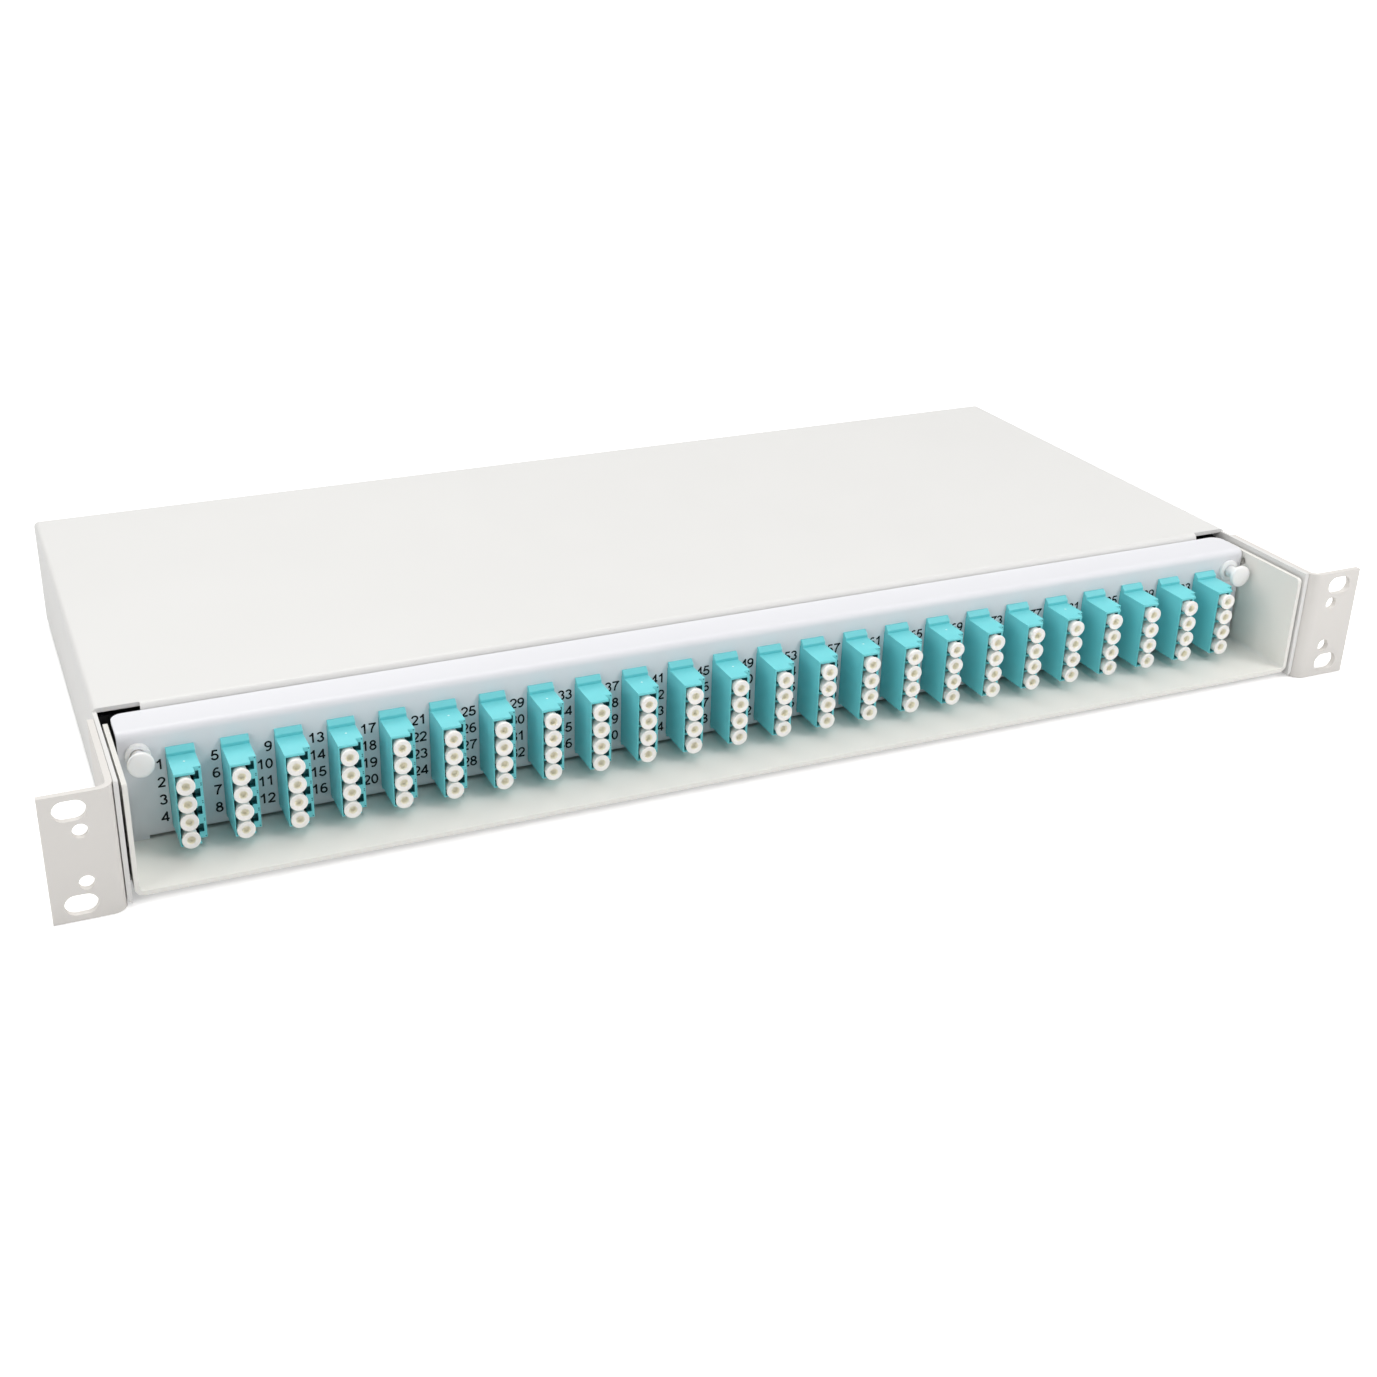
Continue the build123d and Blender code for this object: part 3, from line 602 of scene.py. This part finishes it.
def add_stroke(mesh_data, points, width, depth):
    """A flat band of constant width along a smooth line of points, facing the front."""
    closed = math.dist(points[0], points[-1]) < 1e-6
    if closed:
        points = points[:-1]
    count = len(points)
    lefts = []
    rights = []
    for index, point in enumerate(points):
        before = points[index - 1] if index or closed else None
        after = points[(index + 1) % count] if index < count - 1 or closed else None
        normals = []
        for start, stop in ((before, point), (point, after)):
            if start is None or stop is None:
                continue
            length = math.dist(start, stop)
            normals.append(((start[1] - stop[1]) / length, (stop[0] - start[0]) / length))
        across, up = [sum(part) / len(normals) for part in zip(*normals)]
        reach = width / 2 / (across ** 2 + up ** 2)
        x, z = point
        lefts.append(new_corner(mesh_data, x + across * reach, depth, z + up * reach))
        rights.append(new_corner(mesh_data, x - across * reach, depth, z - up * reach))
    for index in range(count if closed else count - 1):
        after = (index + 1) % count
        mesh_data.faces.new((lefts[index], lefts[after], rights[after], rights[index]))


def add_line(mesh_data, points, width, depth):
    """A line of points drawn with full corners, each part a hair in front of the one before."""
    layer = 0.006
    for index, part in enumerate(smooth_parts(points)):
        if index > 0:
            run_on = width / 2 / math.dist(part[0], part[1])
            part[0] = tuple(a - (b - a) * run_on for a, b in zip(part[0], part[1]))
        add_stroke(mesh_data, part, width, depth - layer * index)


def make_numbers(ink):
    """The numbers 1 to 96, each to the left of its port."""
    digit_height = 3.4
    digit_step = 2.652
    digit_middle = 0.28
    unit_width = digit_height * 1.3
    stroke = 0.6
    offset_one = -5.15
    offset_two = -6.7
    lift = 0.25
    ink_gap = 0.03
    mesh_data = bmesh.new()
    for column, middle in enumerate(port_columns):
        for row, height in enumerate(port_heights):
            digits = str(column * port_count + row + 1)
            offset = offset_one if len(digits) == 1 else offset_two
            start = middle + offset - (len(digits) - 1) * digit_step / 2
            base = height + lift - digit_height / 2
            for place, digit in enumerate(digits):
                left = start + place * digit_step - digit_middle * unit_width
                for line in digit_strokes(digit):
                    points = [(left + x * unit_width, base + z * digit_height) for x, z in line]
                    add_line(mesh_data, points, stroke, plate_front - ink_gap)
    numbers = mesh_object("port_numbers", mesh_data, ink)
    for face in numbers.data.polygons:
        if face.normal.y > 0:
            face.flip()
    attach(numbers, "drawer")


# Push-pull latches
def add_leg(mesh_data, centre, turns, radii, depths):
    """One leg of a split barrel, between two angles, two radii and two depths along Y."""
    steps = 8
    start, stop = turns
    rings = []
    for depth in depths:
        for radius in radii:
            ring = []
            for step in range(steps + 1):
                turn = start + (stop - start) * step / steps
                x = centre[0] + radius * math.cos(turn)
                z = centre[1] + radius * math.sin(turn)
                ring.append(new_corner(mesh_data, x, depth, z))
            rings.append(ring)
    front_in, front_out, back_in, back_out = rings
    for step in range(steps):
        after = step + 1
        mesh_data.faces.new((front_in[step], front_in[after], front_out[after], front_out[step]))
        mesh_data.faces.new((back_in[step], back_out[step], back_out[after], back_in[after]))
        mesh_data.faces.new((front_in[step], back_in[step], back_in[after], front_in[after]))
        mesh_data.faces.new((front_out[step], front_out[after], back_out[after], back_out[step]))
    for index in (0, steps):
        mesh_data.faces.new((front_in[index], front_out[index], back_out[index], back_in[index]))


def make_grommet(side, name, nylon):
    """A latch's fixed half: a flange on the plate and a barrel that is split into four legs."""
    flange_radius = 4.05
    barrel_radius = 3.0
    bore_radius = 2.3
    barrel_end = plate_front + 3.0
    leg_front = plate_front + 2.0
    leg_back = plate_front + 8.4
    leg_turn = 90.0
    leg_gap = 9.0
    centre = (side * latch_place, latch_height)
    profile = [
        (bore_radius, barrel_end),
        (bore_radius, grommet_front + 0.1),
        (2.42, grommet_front),
        (3.6, grommet_front),
        (3.95, grommet_front + 0.15),
        (flange_radius, grommet_front + 0.5),
        (flange_radius, plate_front - seat_gap),
        (barrel_radius, plate_front - seat_gap),
        (barrel_radius, leg_front),
    ]
    mesh_data = bmesh.new()
    add_lathe(mesh_data, profile, centre, "y", segments=48)
    for leg in range(4):
        start = math.radians(leg * leg_turn + leg_gap)
        stop = math.radians((leg + 1) * leg_turn - leg_gap)
        add_leg(mesh_data, centre, (start, stop), (bore_radius, barrel_radius), (leg_front, leg_back))
    fixed = mesh_object(f"latch_grommet_{name}_look", mesh_data, nylon)
    soften(fixed, width=0.08)
    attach(fixed, "drawer")
    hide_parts(f"latch_grommet_{name}")


def make_plunger(side, name, nylon):
    """A latch's moving half: a button on a stem."""
    head_radius = 4.2
    stem_radius = 2.2
    head_back = plunger_front + 1.6
    stem_back = plunger_front + 10.2
    profile = [
        (0, plunger_front + 0.02),
        (2.6, plunger_front),
        (3.75, plunger_front + 0.06),
        (4.08, plunger_front + 0.25),
        (head_radius, plunger_front + 0.65),
        (4.16, plunger_front + 1.3),
        (3.95, head_back - 0.02),
        (2.5, head_back),
        (stem_radius, head_back + 0.3),
        (stem_radius, stem_back - 0.6),
        (1.7, stem_back),
        (0, stem_back + 0.05),
    ]
    mesh_data = bmesh.new()
    add_lathe(mesh_data, profile, (side * latch_place, latch_height), "y", segments=48)
    moving = mesh_object(f"latch_plunger_{name}_look", mesh_data, nylon)
    shade_smoothly(moving)
    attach(moving, f"{name}_plunger")
    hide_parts(f"latch_plunger_{name}")


# Fasteners and fittings
def make_screws(zinc):
    """Round-headed screws with a socket, in place of the flat-sided ones on the ears."""
    head = [
        (0, 1.1),
        (0.9, 1.1),
        (1.3, 1.92),
        (2.4, 1.8),
        (3.2, 1.2),
        (3.48, 0.4),
        (3.5, 0.01),
        (0, 0.01),
    ]
    mesh_data = bmesh.new()
    for side in (-1, 1):
        profile = [(radius, side * (ear_outer + rise)) for radius, rise in head]
        for place in ear_screw_places:
            add_lathe(mesh_data, profile, (place, 0.0), "x", segments=32)
    screws = mesh_object("ear_screws_look", mesh_data, zinc)
    shade_smoothly(screws)
    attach(screws, "housing_body")
    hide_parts("ear_screws")


def make_gland(place, name, black):
    """A cable gland: a six-sided collar, a dome behind it and a thread through the rear panel."""
    collar_radius = 13.856
    collar_front = housing_back + seat_gap
    collar_back = housing_back + 6.0
    bore_radius = 5.0
    thread_front = 213.0
    dome_back = housing_back + 18.0
    hexagon = []
    for step in range(6):
        turn = math.radians(60 * step)
        hexagon.append((place + collar_radius * math.cos(turn), collar_radius * math.sin(turn)))
    profile = [
        (bore_radius, thread_front + 0.2),
        (9.5, thread_front),
        (thread_radius, thread_front + 0.5),
        (thread_radius, housing_back),
        (10.4, collar_back - 0.1),
        (10.5, collar_back + 1.0),
        (10.3, collar_back + 4.0),
        (9.0, collar_back + 8.5),
        (7.6, dome_back - 0.7),
        (6.8, dome_back),
        (5.2, dome_back),
        (bore_radius, dome_back - 0.4),
        (bore_radius, thread_front + 0.2),
    ]
    mesh_data = bmesh.new()
    add_prism(
        mesh_data,
        [(x, collar_front, z) for x, z in hexagon],
        [(x, collar_back, z) for x, z in hexagon],
    )
    add_lathe(mesh_data, profile, (place, 0.0), "y", segments=48)
    gland = mesh_object(f"cable_gland_{name}_look", mesh_data, black)
    soften(gland, width=0.3)
    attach(gland, "housing_body")
    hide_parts(f"cable_gland_{name}")


def make_plugs(black):
    """Round plugs in the cable entries that are not used."""
    head_radius = 12.0
    head_front = housing_back + 0.01
    plug_front = 220.0
    profile = [
        (0, plug_front),
        (thread_radius, plug_front),
        (thread_radius, head_front),
        (head_radius, head_front),
        (head_radius, housing_back + 2.0),
        (11.2, housing_back + 2.9),
        (9.0, housing_back + 3.0),
        (8.6, housing_back + 2.6),
        (0, housing_back + 2.6),
    ]
    mesh_data = bmesh.new()
    for place in plug_places:
        add_lathe(mesh_data, profile, (place, 0.0), "y", segments=48)
    plugs = mesh_object("blanking_plugs_look", mesh_data, black)
    soften(plugs, width=0.15)
    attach(plugs, "housing_body")
    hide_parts("blanking_plugs")


def dress_nodes(frame, looks):
    """Gives the part's own nodes their materials and slightly rounded edges."""
    for name, (material, width) in looks.items():
        node = frame["nodes"][name]
        node.data.materials.clear()
        node.data.materials.append(material)
        add_bevel(node, width, segments=2, angle=50.0, harden=False)
        normals = node.modifiers.new("normals", "WEIGHTED_NORMAL")
        normals.keep_sharp = True


# Stage
def make_floor():
    """A floor that takes the panel's shadow and looks white to the camera.

    What it adds for the camera grows with the distance, so that the floor runs
    into the white background without a line."""
    floor_size = 12.0
    floor_gap = 0.0002
    bpy.ops.mesh.primitive_plane_add(size=floor_size, location=(0, 0, floor_level * MM - floor_gap))
    floor = bpy.context.object
    floor.name = "floor"
    material, tree, shader = new_material("floor_white")
    shader.inputs["Base Color"].default_value = (0.9, 0.9, 0.9, 1)
    shader.inputs["Roughness"].default_value = 1.0
    shader.inputs["Specular IOR Level"].default_value = 0.0
    shader.inputs["Emission Color"].default_value = (1, 1, 1, 1)
    place = tree.nodes.new("ShaderNodeTexCoord")
    away = tree.nodes.new("ShaderNodeVectorMath")
    away.operation = "LENGTH"
    ramp = tree.nodes.new("ShaderNodeMapRange")
    ramp.inputs["From Min"].default_value = 0.6
    ramp.inputs["From Max"].default_value = 1.6
    ramp.inputs["To Min"].default_value = 0.4
    ramp.inputs["To Max"].default_value = 1.0
    path = tree.nodes.new("ShaderNodeLightPath")
    lift = tree.nodes.new("ShaderNodeMath")
    lift.operation = "MULTIPLY"
    tree.links.new(place.outputs["Object"], away.inputs[0])
    tree.links.new(away.outputs["Value"], ramp.inputs["Value"])
    tree.links.new(path.outputs["Is Camera Ray"], lift.inputs[0])
    tree.links.new(ramp.outputs["Result"], lift.inputs[1])
    tree.links.new(lift.outputs[0], shader.inputs["Emission Strength"])
    floor.data.materials.append(material)


def make_world():
    """Even studio light, with a white background for the camera."""
    world = bpy.data.worlds.new("studio")
    bpy.context.scene.world = world
    world.use_nodes = True
    tree = world.node_tree
    tree.nodes.clear()
    light = tree.nodes.new("ShaderNodeBackground")
    light.inputs["Color"].default_value = (0.95, 0.98, 1.0, 1)
    light.inputs["Strength"].default_value = 0.2
    white = tree.nodes.new("ShaderNodeBackground")
    white.inputs["Color"].default_value = (1, 1, 1, 1)
    white.inputs["Strength"].default_value = 1.0
    path = tree.nodes.new("ShaderNodeLightPath")
    seen = tree.nodes.new("ShaderNodeMath")
    seen.operation = "MAXIMUM"
    mix = tree.nodes.new("ShaderNodeMixShader")
    output = tree.nodes.new("ShaderNodeOutputWorld")
    tree.links.new(path.outputs["Is Camera Ray"], seen.inputs[0])
    tree.links.new(path.outputs["Is Transmission Ray"], seen.inputs[1])
    tree.links.new(seen.outputs[0], mix.inputs["Fac"])
    tree.links.new(light.outputs["Background"], mix.inputs[1])
    tree.links.new(white.outputs["Background"], mix.inputs[2])
    tree.links.new(mix.outputs["Shader"], output.inputs["Surface"])


def add_softbox(name, place, size, power, colour, target=(0, 0.05, 0)):
    """A rectangular studio lamp, aimed at the middle of the adapters if no target is given."""
    data = bpy.data.lights.new(name, "AREA")
    data.shape = "RECTANGLE"
    data.size, data.size_y = size
    data.energy = power
    data.color = colour
    lamp = bpy.data.objects.new(name, data)
    bpy.context.scene.collection.objects.link(lamp)
    lamp.location = place
    lamp.rotation_euler = (Vector(target) - Vector(place)).to_track_quat("-Z", "Y").to_euler()


def make_lamps():
    """The studio lamps, all of them large and soft."""
    warm = (1.0, 0.985, 0.97)
    add_softbox("top_light", (0.25, -0.15, 1.7), size=(1.1, 0.9), power=6.6, colour=warm)
    add_softbox("high_light", (0.1, 0.45, 1.6), size=(0.7, 0.5), power=3.5, colour=warm)
    add_softbox("left_light", (-1.6, -0.7, 0.8), size=(1.2, 1.0), power=11.0, colour=(1.0, 0.99, 0.98))
    add_softbox("right_light", (1.6, -0.9, 1.0), size=(1.2, 1.0), power=3.5, colour=(1.0, 0.98, 0.97))
    add_softbox(
        "near_light", (0.75, -0.7, 0.8), size=(0.5, 0.4), power=5.5, colour=(1.0, 0.99, 0.985),
        target=(0.15, 0.02, 0),
    )
    add_softbox("back_light", (-0.3, 1.2, 1.5), size=(1.2, 0.8), power=16.5, colour=(1.0, 0.99, 0.97))


def make_camera():
    """The photograph's camera, solved from the panel's corners and caps."""
    sensor_width = 36.0
    azimuth = math.radians(camera_azimuth)
    elevation = math.radians(camera_elevation)
    roll = math.radians(camera_roll)
    back = Vector((
        math.sin(azimuth) * math.cos(elevation),
        -math.cos(azimuth) * math.cos(elevation),
        math.sin(elevation),
    ))
    right = (-back).cross(Vector((0, 0, 1))).normalized()
    up = right.cross(-back)
    turned_right = right * math.cos(roll) + up * math.sin(roll)
    turned_up = up * math.cos(roll) - right * math.sin(roll)
    data = bpy.data.cameras.new("photo_camera")
    data.sensor_width = sensor_width
    data.sensor_fit = "HORIZONTAL"
    data.lens = focal_pixels / image_pixels * sensor_width
    data.shift_x = (image_pixels / 2 - centre_pixels[0]) / image_pixels
    data.shift_y = (centre_pixels[1] - image_pixels / 2) / image_pixels
    data.clip_start = 0.01
    data.clip_end = 30.0
    camera = bpy.data.objects.new("photo_camera", data)
    bpy.context.scene.collection.objects.link(camera)
    matrix = Matrix((turned_right, turned_up, back)).transposed().to_4x4()
    matrix.translation = (Vector(camera_target) + back * camera_distance) * MM
    camera.matrix_world = matrix
    bpy.context.scene.camera = camera


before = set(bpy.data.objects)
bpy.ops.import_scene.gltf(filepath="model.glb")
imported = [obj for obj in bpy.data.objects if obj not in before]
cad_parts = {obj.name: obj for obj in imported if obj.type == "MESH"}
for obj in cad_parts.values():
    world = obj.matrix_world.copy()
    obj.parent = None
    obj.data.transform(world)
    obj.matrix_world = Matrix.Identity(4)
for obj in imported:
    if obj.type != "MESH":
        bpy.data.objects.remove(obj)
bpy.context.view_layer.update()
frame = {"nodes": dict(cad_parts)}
bpy.context.scene.view_settings.view_transform = "Standard"

housing_paint = powder_coat("housing_paint_look", (0.78, 0.777, 0.765))
ear_paint = powder_coat("ear_paint_look", (0.76, 0.735, 0.705))
drawer_paint = powder_coat("drawer_paint_look", (0.84, 0.83, 0.79))
plate_paint = powder_coat("plate_paint_look", (0.78, 0.785, 0.82))
# Painted shade: the latch brackets are near black so that the housing's inside looks dark through the
# corner notch
bracket_painted_shade = moulded_plastic("bracket_painted_shade_look", (0.015, 0.015, 0.017), roughness=0.5)
aqua = moulded_plastic("aqua_look", (0.165, 0.66, 0.71), roughness=0.38, glow=0.08)
# Painted shade: a dark teal for the strip's keyway pockets and small holes, darker than the aqua
# plastic itself
aqua_painted_shade = moulded_plastic("aqua_keyway_painted_shade_look", (0.02, 0.2, 0.23), roughness=0.5)
# Painted shade: near black for the insides of the ports
port_painted_shade = moulded_plastic("port_painted_shade_look", (0.003, 0.02, 0.02), roughness=0.6)
aqua_light = moulded_plastic("aqua_gate_look", (0.7, 0.92, 0.92), roughness=0.5)
cap_white = moulded_plastic("cap_look", (0.94, 0.91, 0.88), roughness=0.4, glow=0.3)
cap_bore = moulded_plastic("cap_bore_look", (0.9, 0.87, 0.74), roughness=0.5, glow=0.3)
nylon = moulded_plastic("latch_look", (0.92, 0.92, 0.92), roughness=0.35, glow=0.4)
cassette_white = moulded_plastic("cassette_look", (0.75, 0.75, 0.73), roughness=0.45)
zinc = zinc_plate("zinc_look")
black = moulded_plastic("gland_look", (0.02, 0.02, 0.022), roughness=0.4)
ink = printed_ink("ink_look")

# The part's own nodes, each with its material and the width of its rounded edges
looks = {
    "housing": (housing_paint, 0.2),
    "rear_panel": (housing_paint, 0.2),
    "left_ear": (ear_paint, 0.3),
    "right_ear": (ear_paint, 0.3),
    # The brackets carry painted shade, near black, for the dark inside of the housing
    "latch_bracket_left": (bracket_painted_shade, 0.2),
    "latch_bracket_right": (bracket_painted_shade, 0.2),
    "tray": (drawer_paint, 0.25),
    "adapter_plate": (plate_paint, 0.2),
    "plate_rivets": (zinc, 0.1),
    "rear_panel_rivets": (zinc, 0.1),
    "cassette_studs": (zinc, 0.1),
    "cassette_nuts": (zinc, 0.2),
    "gland_locknuts": (black, 0.3),
    "fibre_clips": (cassette_white, 0.2),
    "cable_posts": (cassette_white, 0.2),
    "cassette_cover_left": (cassette_white, 0.2),
    "cassette_cover_right": (cassette_white, 0.2),
    "splice_cassette_left_lower": (cassette_white, 0.15),
    "splice_cassette_left_upper": (cassette_white, 0.15),
    "splice_cassette_right_lower": (cassette_white, 0.15),
    "splice_cassette_right_upper": (cassette_white, 0.15),
}
dress_nodes(frame, looks)
make_adapters(aqua, aqua_painted_shade, aqua_light, port_painted_shade)
make_caps(cap_white, cap_bore)
make_numbers(ink)
for side, name in ((-1, "left"), (1, "right")):
    make_grommet(side, name, nylon)
    make_plunger(side, name, nylon)
make_screws(zinc)
for place, name in zip(gland_places, ("left", "right")):
    make_gland(place, name, black)
make_plugs(black)

make_floor()
make_world()
make_lamps()
make_camera()
